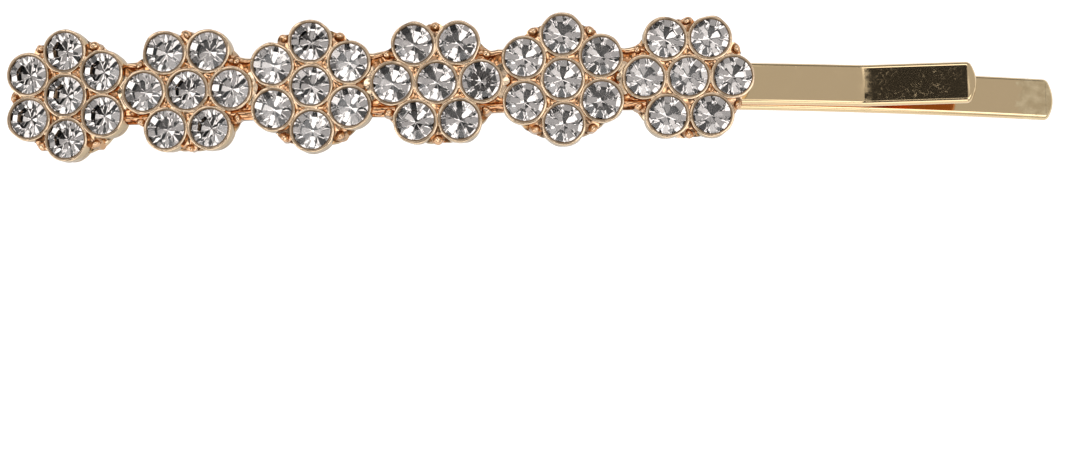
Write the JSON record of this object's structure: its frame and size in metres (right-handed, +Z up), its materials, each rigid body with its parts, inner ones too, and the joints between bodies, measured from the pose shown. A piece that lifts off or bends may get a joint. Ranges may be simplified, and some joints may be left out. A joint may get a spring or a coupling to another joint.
{
  "type": "hair slide",
  "caption": "Slim sprung hair slide: a folded flat strip with a row of stone-set metal flowers on its short leg and a flared tip that guides hair between the legs.",
  "frame": {"origin": "centre of the bottom of the bounding box, on the surface that the slide lies on", "axes": "+X from the fold to the open tips, +Z up, away from the surface, flowers on top"},
  "size_m": [0.0772, 0.0104, 0.0094],
  "materials": {
    "strip": "rolled and polished steel strip, plated pale gold, lightly rubbed at the tips",
    "casting": "cast zinc alloy, bright rose gold plating",
    "stones": "clear cut glass with a mirrored back"
  },
  "bodies": {
    "root": {"pin": "strip", "setting": "casting", "flower_1_centre_stone": "stones", "flower_1_petal_1_stone": "stones", "flower_1_petal_2_stone": "stones", "flower_1_petal_3_stone": "stones", "flower_1_petal_4_stone": "stones", "flower_1_petal_5_stone": "stones", "flower_1_petal_6_stone": "stones", "flower_2_centre_stone": "stones", "flower_2_petal_1_stone": "stones", "flower_2_petal_2_stone": "stones", "flower_2_petal_3_stone": "stones", "flower_2_petal_4_stone": "stones", "flower_2_petal_5_stone": "stones", "flower_2_petal_6_stone": "stones", "flower_3_centre_stone": "stones", "flower_3_petal_1_stone": "stones", "flower_3_petal_2_stone": "stones", "flower_3_petal_3_stone": "stones", "flower_3_petal_4_stone": "stones", "flower_3_petal_5_stone": "stones", "flower_3_petal_6_stone": "stones", "flower_4_centre_stone": "stones", "flower_4_petal_1_stone": "stones", "flower_4_petal_2_stone": "stones", "flower_4_petal_3_stone": "stones", "flower_4_petal_4_stone": "stones", "flower_4_petal_5_stone": "stones", "flower_4_petal_6_stone": "stones", "flower_5_centre_stone": "stones", "flower_5_petal_1_stone": "stones", "flower_5_petal_2_stone": "stones", "flower_5_petal_3_stone": "stones", "flower_5_petal_4_stone": "stones", "flower_5_petal_5_stone": "stones", "flower_5_petal_6_stone": "stones", "flower_6_centre_stone": "stones", "flower_6_petal_1_stone": "stones", "flower_6_petal_2_stone": "stones", "flower_6_petal_3_stone": "stones", "flower_6_petal_4_stone": "stones", "flower_6_petal_5_stone": "stones", "flower_6_petal_6_stone": "stones"}
  },
  "joints": []
}
